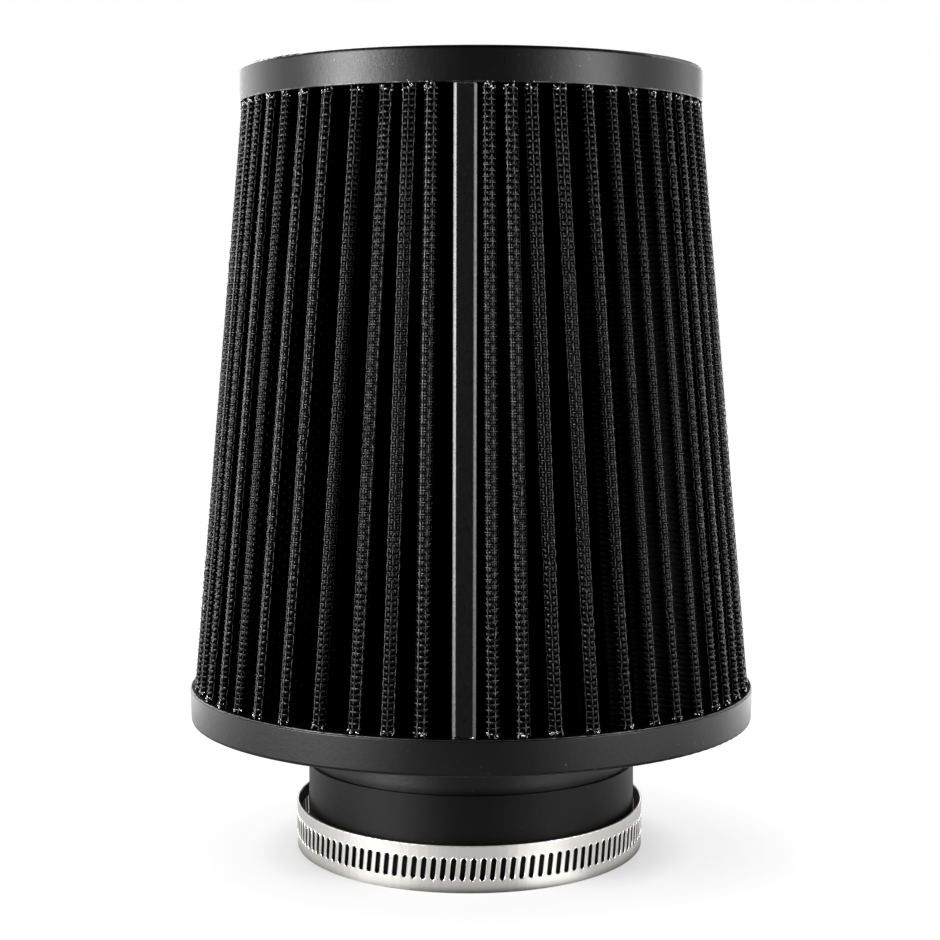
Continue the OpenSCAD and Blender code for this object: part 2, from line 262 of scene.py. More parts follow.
def warp(k, s, z):
    """How far the gauze is pushed along the sheet, up and out at a place: sums of slow sine
    waves with chance phases for each pleat, larger in a few worn stretches and where the
    wires end in the resin."""
    ph = waves[:, k]
    worn = np.maximum(np.sin(z * 0.045 + ph[5]) * np.sin(z * 0.11 + ph[6]), 0) ** 2
    end = near_end(z, 1.1)
    ds = np.sin(z * 0.61 + ph[0]) + np.sin(z * 1.37 + ph[1] + s * 0.8) * 0.7
    dz = np.sin(z * 0.23 + ph[2] + s * 0.9) + np.sin(s * 1.9 + z * 0.9 + ph[3]) * 0.6
    curl = np.sin(z * 2.4 + ph[7] + s * 1.7)
    out = np.sin(z * 2.1 + ph[4] + s * 2.3) * 0.2 * end + 0.12 * worn * np.sin(z * 1.9 + ph[8])
    crumple = 0.022 + 0.13 * worn
    return crumple * ds + 0.35 * end * curl, crumple * dz, out + 0.15 * end


def new_mesh(name, points, quads, material, uv=None, values=None):
    """A smooth piece from points in millimetres and faces of four corners each. uv holds one
    pair and each of values one number per point."""
    mesh = bpy.data.meshes.new(name)
    points = np.asarray(points, float).reshape(-1, 3) * MM
    quads = np.asarray(quads, np.int32).reshape(-1, 4)
    mesh.vertices.add(len(points))
    mesh.vertices.foreach_set("co", points.astype(np.float32).ravel())
    mesh.loops.add(quads.size)
    mesh.loops.foreach_set("vertex_index", quads.ravel())
    mesh.polygons.add(len(quads))
    mesh.polygons.foreach_set("loop_start", np.arange(0, quads.size, 4, dtype=np.int32))
    mesh.update(calc_edges=True)
    mesh.polygons.foreach_set("use_smooth", np.ones(len(quads), bool))
    if uv is not None:
        layer = mesh.uv_layers.new(name="along_up")
        layer.data.foreach_set("uv", np.asarray(uv, np.float32)[quads.ravel()].ravel())
    for key, value in (values or {}).items():
        layer = mesh.attributes.new(key, "FLOAT", "POINT")
        layer.data.foreach_set("value", np.asarray(value, np.float32).ravel())
    mesh.validate()
    mesh.materials.append(material)
    piece = bpy.data.objects.new(name, mesh)
    bpy.context.scene.collection.objects.link(piece)
    return piece


def grid_quads(rows, cols, wrap_rows=False, wrap_cols=False):
    """Faces of a grid of rows by cols points, closed on itself where asked."""
    r = np.arange(rows if wrap_rows else rows - 1)[:, None]
    c = np.arange(cols if wrap_cols else cols - 1)[None]
    r1, c1 = (r + 1) % rows, (c + 1) % cols
    corners = [r * cols + c, r * cols + c1, r1 * cols + c1, r1 * cols + c]
    return np.stack(np.broadcast_arrays(*corners), -1).reshape(-1, 4)


def tubes(path, normal, radius, sides):
    """Round wires along many paths at once. Each ring of points stands square to the path,
    turned so that its first axis follows the normal. The ends stay open."""
    ahead = np.gradient(path, axis=1)
    ahead /= np.linalg.norm(ahead, axis=-1, keepdims=True)
    side = np.cross(ahead, normal)
    side /= np.linalg.norm(side, axis=-1, keepdims=True)
    up = np.cross(side, ahead)
    a = np.arange(sides) * 2 * np.pi / sides
    ring = np.cos(a)[:, None] * up[..., None, :] + np.sin(a)[:, None] * side[..., None, :]
    points = path[..., None, :] + radius[..., None, None] * ring
    wires, steps = path.shape[:2]
    one = grid_quads(steps, sides, wrap_cols=True)
    quads = one[None] + np.arange(wires)[:, None, None] * steps * sides
    return points.reshape(-1, 3), quads.reshape(-1, 4)


# Materials


class Value:
    """One output of a material's nodes, which can be used in sums."""

    def __init__(self, graph, socket):
        self.graph, self.socket = graph, socket

    def math(self, kind, *others):
        return self.graph.math(kind, self, *others)

    def __add__(self, other):
        return self.math("ADD", other)

    def __sub__(self, other):
        return self.math("SUBTRACT", other)

    def __rsub__(self, other):
        return self.graph.math("SUBTRACT", other, self)

    def __mul__(self, other):
        return self.math("MULTIPLY", other)

    def __truediv__(self, other):
        return self.math("DIVIDE", other)

    def __pow__(self, other):
        return self.math("POWER", other)

    __radd__ = __add__
    __rmul__ = __mul__

    def ramp(self, a, b, low=0.0, high=1.0):
        """low below a, high above b and a smooth change between."""
        put = {"Value": self, "From Min": a, "From Max": b, "To Min": low, "To Max": high}
        return self.graph.node("ShaderNodeMapRange", put, interpolation_type="SMOOTHSTEP")


class Graph:
    """The nodes of one material."""

    def __init__(self, name):
        self.material = bpy.data.materials.new(name)
        self.material.use_nodes = True
        self.tree = self.material.node_tree
        self.shader = self.tree.nodes["Principled BSDF"]

    def put(self, socket, value):
        """Links a value to a socket, or sets the socket to a plain number."""
        if isinstance(value, Value):
            self.tree.links.new(value.socket, socket)
        else:
            socket.default_value = value

    def node(self, kind, inputs=None, output=0, **settings):
        """Adds a node with those settings and inputs and gives one of its outputs."""
        made = self.tree.nodes.new(kind)
        for key, value in settings.items():
            setattr(made, key, value)
        for key, value in (inputs or {}).items():
            self.put(made.inputs[key], value)
        return Value(self, made.outputs[output])

    def math(self, kind, *values):
        return self.node("ShaderNodeMath", dict(enumerate(values)), operation=kind)

    def place(self):
        """Object coordinates, in metres."""
        return self.node("ShaderNodeTexCoord", output="Object")

    def parts(self, vector):
        """The three coordinates of a vector."""
        split = self.tree.nodes.new("ShaderNodeSeparateXYZ")
        self.put(split.inputs[0], vector)
        return [Value(self, o) for o in split.outputs]

    def join(self, x, y, z):
        """A vector from its three coordinates."""
        return self.node("ShaderNodeCombineXYZ", {0: x, 1: y, 2: z})

    def noise(self, vector, scale, detail=2.0, roughness=0.5):
        """Cloudy noise from 0 to 1. scale is how many clouds there are to a metre."""
        put = {"Vector": vector, "Scale": scale, "Detail": detail, "Roughness": roughness}
        return self.node("ShaderNodeTexNoise", put)

    def colour(self, share, low, high):
        """A colour between two others, by a share from 0 to 1."""
        put = {0: share, 6: (*low, 1), 7: (*high, 1)}
        return self.node("ShaderNodeMix", put, output=2, data_type="RGBA")

    def bump(self, height, distance, strength=1.0):
        """Surface relief from a height in units of distance, which is in metres."""
        put = {"Height": height, "Distance": distance, "Strength": strength}
        return self.node("ShaderNodeBump", put)

    def finish(self, **sockets):
        """Sets the shader's own sockets and gives the material."""
        for key, value in sockets.items():
            self.put(self.shader.inputs[key.replace("_", " ")], value)
        return self.material


def moulding(name, grain, gloss, mirror, rough_and_shaded_below=0.0):
    """Satin black moulded rubber: fine leathery grain, faint cloudy patches of gloss and a few
    bright specks. It mirrors most in the throat under the ring, as a painted sheen, less above,
    and least below the height given last, as painted shade of the band and ring over the neck,
    where it is rougher too. grain is the relief's depth."""
    g = Graph(name)
    p = g.place()
    height_up = g.parts(p)[2]
    cloud = g.noise(p, 60, 3)
    fine = g.noise(p, 2600, 3, 0.6)
    pebble = g.noise(p, 900, 2, 0.5)
    height = fine * 0.45 + pebble * 0.55
    rough = gloss + (cloud - 0.5) * 0.12 + (fine - 0.5) * 0.1
    rough = rough + height_up.ramp(rough_and_shaded_below, rough_and_shaded_below + 0.002, 0.1, 0.0)
    # Painted light by height: painted shade below the seat, a painted sheen in the throat
    share = height_up.ramp(rough_and_shaded_below, rough_and_shaded_below + 0.002, 0.6, 1.3)
    share = share * height_up.ramp(THROAT_TOP * MM, NECK_TOP * MM, 1.0, 0.77)
    share = share * cloud.ramp(0.3, 0.7, 0.96, 1.0)
    share = share + g.noise(p, 1500, 0).ramp(0.83, 0.9) * 3
    return g.finish(
        Base_Color=g.colour(share * mirror, (0, 0, 0), (1, 1, 1)),
        Metallic=1.0,
        Roughness=rough,
        Normal=g.bump(height, grain),
    )


def steel(name, tint, across, gloss, inner_r=None):
    """Bright stainless strip: long fine brushing round the band, worn a little cloudy.
    across is the size of the brush lines in height. Within inner_r of the leaning clamp's
    axis it is darkened as painted shade, on the band's inside."""
    g = Graph(name)
    p = g.place()
    x, y, z = g.parts(p)
    turned = g.math("ARCTAN2", x, y * -1)
    lines = g.noise(g.join(turned * 0.6, z / across, 0), 1.0, 3, 0.65)
    cloud = g.noise(p, 90, 2)
    shine = lines.ramp(0.3, 0.7, 0.95, 1.0)
    # Painted shade on the band's inside, which faces the neck
    if inner_r:
        back = y + z * np.tan(CLAMP_LEAN) - CLAMP_Y * MM
        off_axis = ((x - CLAMP_X * MM) ** 2 + back * back) ** 0.5
        shine = shine * off_axis.ramp(inner_r - 0.0001, inner_r + 0.0001, 0.05, 1.0)
    return g.finish(
        Base_Color=g.colour(shine, (0, 0, 0), tint),
        Metallic=1.0,
        Roughness=gloss + (lines - 0.5) * 0.06 + (cloud - 0.5) * 0.06,
        Normal=g.bump(lines, 0.000003),
    )


def wire_black():
    """Black-lacquered wire, glossier where resin has wetted it. Its mirror colour is darkened as
    painted shade on the flanks of the pleats and at some crossings of the weave."""
    g = Graph("lacquered_wire")
    wet = g.node("ShaderNodeAttribute", attribute_name="wet", output="Fac")
    painted_shade = g.node("ShaderNodeAttribute", attribute_name="painted_shade", output="Fac")
    spots = g.noise(g.place(), 3000, 2)
    # Painted shade: the wire mirrors less on the flanks and at the crossings
    tone_share = (1 - painted_shade) ** 2 * 0.97 + 0.03
    return g.finish(
        Base_Color=g.colour(tone_share, (0, 0, 0), (0.045, 0.045, 0.046)),
        Metallic=1.0,
        Roughness=0.38 - wet * 0.22 + (spots - 0.5) * 0.2,
        Normal=g.bump(spots, 0.00002),
    )


def cotton_black():
    """Oiled black cotton: a soft pillow in each cell of the gauze, with a crease under each
    wire, and a fuzzy thread grain. Its mirror colour is darkened on the flanks of the pleats
    as painted shade. On the flanks the upright wires lie sunk in it and show as faint dashes,
    where they pass over the level ones."""
    g = Graph("oiled_cotton")
    u, v, _ = g.parts(g.node("ShaderNodeUVMap", uv_map="along_up"))
    painted_shade = g.node("ShaderNodeAttribute", attribute_name="painted_shade", output="Fac")
    across = g.math("FRACT", u) - 0.5
    up = g.math("FRACT", v) - 0.5
    pillow = (across * across + up * up) * -4
    fuzz = g.noise(g.place(), 4000, 3, 0.6)
    line = g.math("ABSOLUTE", across).ramp(0.4, 0.46)
    over = g.math("COSINE", (g.math("ROUND", u) + v) * np.pi).ramp(0.2, 0.6)
    sunk = line * over * painted_shade.ramp(0.3, 0.9)
    # Painted shade: the cotton mirrors less on the flanks
    mirror = (1 - painted_shade) ** 2 * 0.16 + sunk
    return g.finish(
        Base_Color=g.colour(mirror, (0.0001, 0.0001, 0.0001), (0.05, 0.05, 0.05)),
        Metallic=1.0,
        Roughness=0.24 + (fuzz - 0.5) * 0.12,
        Normal=g.bump(pillow + fuzz * 0.1, 0.0003),
    )


def resin_black():
    """Black potting resin with small runs and pin holes."""
    g = Graph("potting_resin")
    lumps = g.noise(g.place(), 700, 2)
    return g.finish(
        Base_Color=(0.0004, 0.0004, 0.0004, 1),
        Roughness=lumps.ramp(0.3, 0.7, 0.5, 0.7),
        Specular_IOR_Level=0.02,
        Normal=g.bump(lumps, 0.0001, 0.7),
    )


def wet_resin():
    """Drops of black resin that set glossy, with small ripples."""
    g = Graph("resin_drop")
    ripple = g.noise(g.place(), 2500, 2)
    return g.finish(
        Base_Color=g.colour(ripple, (0.09, 0.09, 0.09), (0.3, 0.3, 0.3)),
        Metallic=1.0,
        Roughness=0.16 + (ripple - 0.5) * 0.1,
        Normal=g.bump(ripple, 0.0001),
    )


def inner_mesh():
    """The gauze inside the pleats: round wires along the borders of its cells, black between."""
    g = Graph("inner_gauze_weave")
    u, v, _ = g.parts(g.node("ShaderNodeUVMap", uv_map="along_up"))
    across = g.math("ABSOLUTE", g.math("FRACT", u) - 0.5) * 2
    up = g.math("ABSOLUTE", g.math("FRACT", v) - 0.5) * 2
    ridge = g.math("MAXIMUM", across, up).ramp(0.7, 0.95)
    return g.finish(
        Base_Color=g.colour(ridge, (0.0005, 0.0005, 0.0005), (0.03, 0.03, 0.031)),
        Metallic=1.0,
        Roughness=0.4 + (ridge - 0.5) * 0.1,
        Normal=g.bump(ridge, 0.0003),
    )


def clip_black():
    """Black-coated sheet with a slight orange peel and a few fine rubs."""
    g = Graph("coated_clip")
    p = g.place()
    x, y, z = g.parts(p)
    peel = g.noise(p, 1500, 2, 0.5)
    rubs = g.noise(g.join(x * 6000, y * 6000, z * 60), 1.0, 2)
    tone_share = rubs.ramp(0.5, 0.8)
    return g.finish(
        Base_Color=g.colour(tone_share, (0.0018, 0.0018, 0.0019), (0.0034, 0.0034, 0.0034)),
        Roughness=0.3 + (peel - 0.5) * 0.15 + rubs.ramp(0.55, 0.8) * 0.1,
        Specular_IOR_Level=0.25,
        Normal=g.bump(peel, 0.00004, 0.6),
    )


RUBBER = moulding(
    "satin_moulding", grain=0.00005, gloss=0.4, mirror=0.0192, rough_and_shaded_below=SEAT_TOP * MM
)
CAP_RUBBER = moulding("satin_cap_moulding", grain=0.00005, gloss=0.36, mirror=0.016)
WIRE = wire_black()
COTTON = cotton_black()
RESIN = resin_black()
WET = wet_resin()
FLASH = moulding("mould_flash", grain=0.00003, gloss=0.38, mirror=0.045)
INNER_WIRE = inner_mesh()
CLIP = clip_black()
BAND = steel("brushed_band", (0.79, 0.77, 0.737), 0.00012, 0.3, inner_r=BAND_INSIDE * MM)
HOUSING = steel("pressed_housing", (0.7, 0.69, 0.67), 0.0003, 0.32)
SCREW = steel("turned_screw", (0.72, 0.71, 0.69), 0.0004, 0.28)


def dress(node, material):
    """Gives a model's node its material."""
    mesh = nodes[node].data
    mesh.materials.clear()
    mesh.materials.append(material)


for node, material in {
    "base_flange": RUBBER,
    "end_cap": CAP_RUBBER,
    "clamp_band": BAND,
    "clamp_saddle": BAND,
    "clamp_housing": HOUSING,
    "clamp_screw": SCREW,
}.items():
    dress(node, material)


# Seam clip

# Half its width, how deep its legs reach, its sheet's thickness and one step of its bevel
CLIP_HALF = 2.9
CLIP_DEEP = 3.5
CLIP_SHEET = 0.5
CLIP_BEVEL = 0.2
CLIP_FACE = float(crest_at(POT_FLOOR)) - 0.1
CLIP_LEAN = np.arctan((crest_at(POT_FLOOR) - crest_at(POT_ROOF)) / (POT_ROOF - POT_FLOOR))
CLIP_LONG = (POT_ROOF - POT_FLOOR) / np.cos(CLIP_LEAN)


def clip_place(x, y, up):
    """Points across the clip's face, inward from it and up along it, in the filter's frame."""
    inward = y * np.cos(CLIP_LEAN) + up * np.sin(CLIP_LEAN) - CLIP_FACE
    z = POT_FLOOR + up * np.cos(CLIP_LEAN) - y * np.sin(CLIP_LEAN)
    a = np.radians(SEAM_ANGLE)
    return np.stack([x * np.cos(a) - inward * np.sin(a), x * np.sin(a) + inward * np.cos(a), z], -1)


def clip_edge(inset):
    """Section line of the channel: leg, slightly bowed bevel, face, bevel, leg. The bevel is
    a chain of short steps whose direction turns from the face's to the leg's."""
    half = CLIP_HALF - inset
    slope = np.radians([8, 16, 24, 27, 30, 33, 36, 45, 60, 75])
    step = CLIP_BEVEL * np.array([0.3, 0.3, 0.3, 1, 1, 1, 1, 0.4, 0.4, 0.4])
    run, drop = np.cumsum(step * np.cos(slope)), np.cumsum(step * np.sin(slope))
    bevel = np.stack([half - run[-1] + run, inset + drop], -1)[::-1]
    leg = np.array([[half, CLIP_DEEP], [half, CLIP_DEEP / 2 + 0.4]])
    face = np.array([[half - run[-1], inset], [(half - run[-1]) * 0.7, inset], [0, inset]])
    one = np.concatenate([leg, bevel, face])
    return np.concatenate([one, (one * [-1, 1])[-2::-1]])


def seam_clip():
    """The clip's channel, swept along the seam. Two slow sines wave its face by a hundredth
    of a millimetre."""
    section = np.concatenate([clip_edge(0), clip_edge(CLIP_SHEET)[::-1]])
    up = np.linspace(0.1, CLIP_LONG - 0.1, 41)
    x = np.broadcast_to(section[:, 0], (len(up), len(section)))
    y = section[:, 1] + 0.012 * np.sin(up * 0.31)[:, None] + 0.008 * np.sin(up * 0.83)[:, None]
    points = clip_place(x, y + 0.02, up[:, None])
    piece = new_mesh("clip_channel", points, grid_quads(*x.shape, wrap_cols=True), CLIP)
    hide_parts("seam_clip")
    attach(piece, "filter")


def clip_beads():
    """Two beads of resin across the clip: one at its foot, thickest at both ends, and an
    even one at its head."""
    half, sunk = 2.3, -0.12
    x = np.linspace(-1, 1, 41)
    ends = np.array([POT_DEPTH + 0.5, CLIP_LONG - POT_DEPTH - 0.36])
    path = clip_place((x * half)[None], sunk, ends[:, None] + 0.05 * np.sin(7 * x)[None])
    normal = np.broadcast_to([0.0, 0.0, 1.0], path.shape)
    foot = 0.1 + 0.3 * np.abs(x) ** 3
    head = 0.2 - 0.1 * x**8
    points, quads = tubes(path, normal, np.stack([foot, head]), 8)
    piece = new_mesh("clip_beads", points, quads, WET)
    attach(piece, "filter")


seam_clip()
clip_beads()


# Pleated sheet and gauze


def pleated_skin(name, outer, inner, rows, material):
    """A closed thin sheet between two distances from the middle surface, on straight lines
    from the pleats' foot to their head. Its coordinates count the gauze's cells along the
    sheet and up it."""
    layers, arcs = [], []
    for off in (outer, inner):
        low, s = LOW.outline(off, *FOLD_STEPS)
        high, _ = HIGH.outline(off, *FOLD_STEPS)
        layers.append((low, high))
        arcs.append(s)
    t = np.linspace(0, 1, rows + 1)
    loops = []
    for (low, high), share in [(layers[0], t), (layers[1], t[::-1])]:
        plane = low[None] + (high - low)[None] * share[:, None, None]
        z = (POT_FLOOR + (POT_ROOF - POT_FLOOR) * share)[:, None, None]
        z = np.broadcast_to(z, (rows + 1, len(low), 1))
        loops.append(np.concatenate([plane, z], -1))
    points = np.concatenate(loops)
    n = points.shape[1]
    quads = grid_quads(len(points), n, wrap_rows=True, wrap_cols=True)
    own = np.repeat(phase, n // PLEATS)
    u = np.broadcast_to((arcs[0] / CELL - own)[None], points.shape[:2])
    v = (points[..., 2] - RING_TOP + 0.1) / ROW
    pleat_len = np.repeat(arcs[0].reshape(PLEATS, -1)[:, -1:], n // PLEATS, 1).reshape(-1)
    to_crest = np.minimum(np.abs(arcs[0]), np.abs(pleat_len - arcs[0]) + 0.6)
    # Painted shade on the flanks, carried to the material as a point value
    painted_shade = np.broadcast_to(hidden(to_crest)[None], points.shape[:2])
    uv = np.stack([u, v], -1).reshape(-1, 2)
    return new_mesh(name, points, quads, material, uv=uv, values={"painted_shade": painted_shade})


def woven(k, s, z, over, radius, unshaded):
    """Wires through places on the pleats, pushed out by over. Each point also gets how wet it
    is and how much painted shade it takes: less where the last argument is high, more on the
    flanks."""
    ds, dz, out = warp(k, s, z)
    p, n = sheet_point(k, s + ds, z + dz, GAUZE_OFF + over + out)
    wet = np.minimum(near_end(z, 0.9), 1)
    painted_shade = 1 - (1 - hidden(s)) * (unshaded + (1 - unshaded) * wet)
    thick = radius * (1 + 1.3 * wet) * (1 - 0.3 * hidden(s))
    long = s.shape[-1]
    lines = p.reshape(-1, long, 3), n.reshape(-1, long, 3), thick.reshape(-1, long)
    made = tubes(*lines, WIRE_SIDES)
    return made, np.repeat(wet.reshape(-1), WIRE_SIDES), np.repeat(painted_shade.reshape(-1), WIRE_SIDES)


def gauze_sector(name, first, last):
    """Plain-woven wires over the crests of some pleats. Upright wires stand a cell apart
    and cross a row of level wires at each row height, over and under by turns: each is
    pushed out and in by a cosine whose sign changes from wire to wire. Upright wires take
    painted shade where they pass under, level ones at each crossing."""
    k = np.arange(first, last)
    rows = int(PLEAT_H / ROW) + 2
    z = RING_TOP - 0.1 + np.arange(rows + 1) * ROW
    z = np.minimum(z, CAP_BOTTOM + CAP_TUCK)
    half_rows = np.minimum(z[0] + np.arange(2 * rows + 1) * ROW / 2, CAP_BOTTOM + CAP_TUCK)
    kk, ii, zz = np.meshgrid(k, np.arange(-1, 2), half_rows, indexing="ij")
    cross = np.cos(np.pi * (zz - z[0]) / ROW + np.pi * ii)
    # Painted shade where the upright wire passes under a level one
    unshaded = 0.95 - 0.6 * np.maximum(-cross, 0)
    s, over = (ii + phase[kk]) * CELL, UPRIGHT_WEAVE * cross
    upright, wet_up, shade_up = woven(kk, s, zz, over, UPRIGHT_R, unshaded)

    across = np.concatenate([[-2], np.arange(-6, 7) / 4, [2]])
    kk, zz, jj = np.meshgrid(k, z[:-1], across, indexing="ij")
    row = np.round((zz - z[0]) / ROW)
    # Painted shade on the level wires at each crossing
    unshaded = 1 - 0.5 * np.cos(np.pi * jj) ** 2
    s, over = (jj + phase[kk]) * CELL, -LEVEL_WEAVE * np.cos(np.pi * jj + np.pi * row)
    level, wet_level, shade_level = woven(kk, s, zz, over, LEVEL_R, unshaded)

    points = np.concatenate([upright[0], level[0]])
    quads = np.concatenate([upright[1], level[1] + len(upright[0])])
    wet, painted_shade = np.concatenate([wet_up, wet_level]), np.concatenate([shade_up, shade_level])
    return new_mesh(name, points, quads, WIRE, values={"wet": wet, "painted_shade": painted_shade})


# The sheet's folded outlines at the foot and at the head, one after the other
folds = np.concatenate([fold.outline(0.0, *FOLD_STEPS)[0] for fold in (LOW, HIGH)])

cotton = pleated_skin("cotton_pleats", COTTON_OFF, COTTON_BACK, 3, COTTON)
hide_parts("filter_medium")
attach(cotton, "filter")

inner = pleated_skin("inner_gauze", INNER_OFF, INNER_BACK, 3, INNER_WIRE)
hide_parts("inner_screen")
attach(inner, "filter")

# The seam's crest, number 0, has the clip in place of gauze
cuts = [1, 10, 19, 28, 37, 45, PLEATS]
for n, (first, last) in enumerate(zip(cuts[:-1], cuts[1:])):
    sector = gauze_sector(f"outer_gauze_{n + 1}", first, last)
    if n == 0:
        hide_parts("outer_screen")
    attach(sector, "filter")


def potting(name, z0, up, rim, fold):
    """The cast surface that the pleats stand in: level, rising in a small fillet against
    the sheet, with a thin uneven lip round its outside. The rise dies away with the distance
    to the nearest point of the sheet."""
    level, fillet, half_sheet, lip_up, skirt = 0.1, 0.35, 0.5, 0.12, -0.05
    around = 16
    crest = crest_at(z0)
    between = np.linspace(crest - PLEAT_DEPTH - 0.4, crest - 0.6, 16)
    radial = np.concatenate([between, np.linspace(crest, rim - 0.12, 5)])
    line, _ = fold.outline(0.0, 12, 24, 4)
    line = line.reshape(PLEATS, -1, 2)
    near = np.concatenate([np.roll(line, 1, 0), line, np.roll(line, -1, 0)], 1)
    start = crest_angle(np.arange(PLEATS), z0)
    end = crest_angle(np.arange(PLEATS) + 1, z0)
    share = np.arange(around) / around
    a = start[:, None] + (end - start)[:, None] * share[None]
    plane = polar(radial[None, None], a[..., None])
    flat = plane.reshape(PLEATS, -1, 1, 2)
    d = np.sqrt(((flat - near[:, None]) ** 2).sum(-1).min(-1)).reshape(plane.shape[:-1])
    th = np.radians(a)[..., None]
    rise = fillet * np.exp(-np.maximum(d - half_sheet, 0) / fillet)
    rise = rise * (1 + 0.25 * np.sin(41 * th + radial))
    lip = smooth((radial - crest) / (rim - crest))
    ragged = 0.1 * np.sin(17 * th) + 0.08 * np.sin(53 * th + 1) + 0.07 * np.sin(131 * th + 2)
    h = level + rise * (1 - lip) + lip * (lip_up + ragged)
    h[..., -1] = skirt
    points = np.concatenate([plane, (z0 + up * h)[..., None]], -1)
    points = points.reshape(-1, len(radial), 3)
    quads = grid_quads(len(points), len(radial), wrap_rows=True)
    piece = new_mesh(name, points, quads if up < 0 else quads[:, ::-1], RESIN)
    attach(piece, "filter")


def drops(name, count):
    """Small runs of resin on the crests' gauze at the pleats' foot and head: balls pulled
    long upright, of chance size, place and lean."""
    around, rings = 8, 7
    k = np.repeat(np.arange(1, PLEATS), 2 * count)
    head = np.tile(np.repeat([False, True], count), PLEATS - 1)
    n = len(k)
    s = luck.uniform(-1.9, 1.9, n)
    up = luck.uniform(0.15, 1.6, n) + 0.2 * head
    z = np.where(head, CAP_BOTTOM - up, RING_TOP + up)
    size = luck.uniform(0.18, 0.36, n) * (1 - 0.2 * up)
    tall = size * luck.uniform(1, 1.8, n)
    lean = luck.uniform(-0.4, 0.4, n)
    centre, out = sheet_point(k, s, z, np.full(n, GAUZE_OFF + 0.15))
    side = np.stack([-out[:, 1], out[:, 0], 0 * z], -1)
    a = np.arange(around) * 2 * np.pi / around
    b = np.linspace(0.02, np.pi - 0.02, rings)
    flat = np.sin(b)[:, None] * size[:, None, None]
    high = (np.cos(b) * tall[:, None])[..., None] * np.ones(around)
    wide = flat * np.sin(a) + high * lean[:, None, None]
    ball = (flat * np.cos(a))[..., None] * out[:, None, None]
    ball = ball + wide[..., None] * side[:, None, None]
    ball = ball + high[..., None] * np.array([0, 0, 1])
    points = centre[:, None, None] + ball
    one = grid_quads(rings, around, wrap_cols=True)
    quads = one[None] + np.arange(n)[:, None, None] * rings * around
    piece = new_mesh(name, points, quads, WET)
    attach(piece, "filter")


def flash(name, r, z, thick, chips):
    """The thin uneven flash that the mould leaves round an edge: a ring whose thickness
    wanders by three sines and is nicked in a few chance places."""
    nick_half = 0.008
    a = np.linspace(0, 2 * np.pi, 721)
    nick = np.zeros_like(a)
    for place in luck.uniform(0, 2 * np.pi, chips):
        away = np.angle(np.exp(1j * (a - place)))
        nick = np.maximum(nick, np.exp(-((away / nick_half) ** 2)))
    wander = 1 + 0.18 * np.sin(23 * a) + 0.14 * np.sin(57 * a + 1) + 0.1 * np.sin(139 * a + 2)
    radius = thick * wander * (1 - 0.8 * nick)
    path = np.stack([r * np.cos(a), r * np.sin(a), np.full_like(a, z)], -1)
    normal = np.broadcast_to([0.0, 0.0, 1.0], path.shape)
    points, quads = tubes(path[None], normal[None], radius[None], 8)
    piece = new_mesh(name, points, quads, FLASH)
    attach(piece, "filter")


potting("ring_potting", RING_TOP, 1, BASE_R - 0.3, Fold(RING_TOP))
potting("cap_potting", CAP_BOTTOM, -1, CAP_R - 0.05, Fold(CAP_BOTTOM))
drops("resin_drops", 7)
flash("ring_flash", BASE_R - 0.4, RING_TOP + 0.02, 0.2, 40)
flash("cap_flash", CAP_R - 0.26, CAP_BOTTOM + 0.1, 0.25, 9)


# Clamp details


def clamp_place(p):
    """Points of the clamp's own frame in the filter's: leaned about the band's front."""
    x, y, z = p[..., 0], p[..., 1] + BAND_R, p[..., 2]
    c, s = np.cos(CLAMP_LEAN), np.sin(CLAMP_LEAN)
    return np.stack([x + CLAMP_X, y * c - z * s + CLAMP_Y - BAND_R, y * s + z * c], -1)


def band_point(a, r, z):
    """A point of the band at an angle in degrees, lifted where its tail laps its head."""
    r = r + LIFT * smooth((a - LIFT_FROM) / LIFT_OVER)
    th = np.radians(a + 90)
    return clamp_place(np.stack(np.broadcast_arrays(r * np.cos(th), r * np.sin(th), z), -1))


def band_piece(name, points, quads):
    """A piece of the band's own steel, which rides with the filter."""
    piece = new_mesh(name, points, quads, BAND)
    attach(piece, "filter")


def slot_rims():
    """The raised burr round each slot: a thin wire along the slot's leaning outline, in four
    steps from corner to corner."""
    a = SLOT_FROM + SLOT_STEP * np.arange(int((SLOT_TO - SLOT_FROM) / SLOT_STEP))
    side, tip, end, shoulder = 0.76, 0.27, 3.07, 2.5
    corners = np.array([[tip, -end], [side, -shoulder], [side, shoulder], [tip, end]])
    corners = np.concatenate([corners, -corners, corners[:1]])
    share = np.arange(4)[:, None] / 4
    line = [p + (q - p) * share for p, q in zip(corners[:-1], corners[1:])]
    line = np.concatenate([*line, line[0][:2]])
    c, s = np.cos(SLOT_LEAN), np.sin(SLOT_LEAN)
    u = line[:, 0] * c - line[:, 1] * s
    v = line[:, 0] * s + line[:, 1] * c
    at = a[:, None] + np.degrees(u / BAND_R)[None]
    z = BAND_W / 2 + v[None]
    path = band_point(at, BAND_R - BURR_SINK, z)
    normal = path - band_point(at, 0.0, z)
    band_piece("slot_rims", *tubes(path, normal, np.full(at.shape, BURR_R), 6))


def band_edge():
    """The band's upper edge, rounder than its cut sheet: a wire along it."""
    a = np.linspace(HEAD_END, TAIL_END, 500)
    path = band_point(a[None], BAND_R - BAND_T / 2, BAND_W - EDGE_DROP)
    normal = np.broadcast_to([0.0, 0.0, 1.0], path.shape)
    band_piece("band_edge", *tubes(path, normal, np.full(path.shape[:2], EDGE_R), 10))


slot_rims()
band_edge()


# Studio, in metres: the room, the height of the floor that only reflections show, how bright
# that floor is close by, and the height that the lights look at

ROOM_SIDE = 4
ROOM_BACK = 3
ROOM_FOOT = -0.5
ROOM_TOP = 4
MIRROR_FLOOR = 0.0002
NEAR_BOUNCE = 0.12
LIGHT_AIM = 0.11

